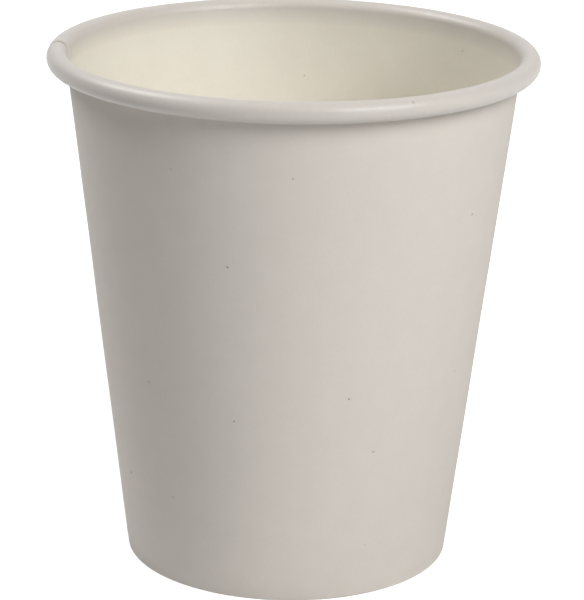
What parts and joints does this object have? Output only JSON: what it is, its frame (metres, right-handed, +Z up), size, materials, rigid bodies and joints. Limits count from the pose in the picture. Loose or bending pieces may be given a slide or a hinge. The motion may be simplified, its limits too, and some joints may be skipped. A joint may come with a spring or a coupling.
{
  "type": "paper coffee cup",
  "caption": "Open tapered paper cup with an outward rolled rim, a lapped side seam and a flat bottom disc held up inside a folded foot.",
  "frame": {"origin": "on the cup's axis, at the centre of the foot plane", "axes": "+Z up along the cup's axis, out of the open mouth; +X and +Y level, with the side seam close to -X"},
  "size_m": [0.09, 0.09, 0.0965],
  "materials": {
    "wall_board": "uncoated warm white cup board outside, satin film coating inside and over the rim",
    "disc_board": "cream cup board with a satin film coating on the upper side"
  },
  "bodies": {
    "root": {"side_wall": "wall_board", "bottom_disc": "disc_board"}
  },
  "joints": []
}
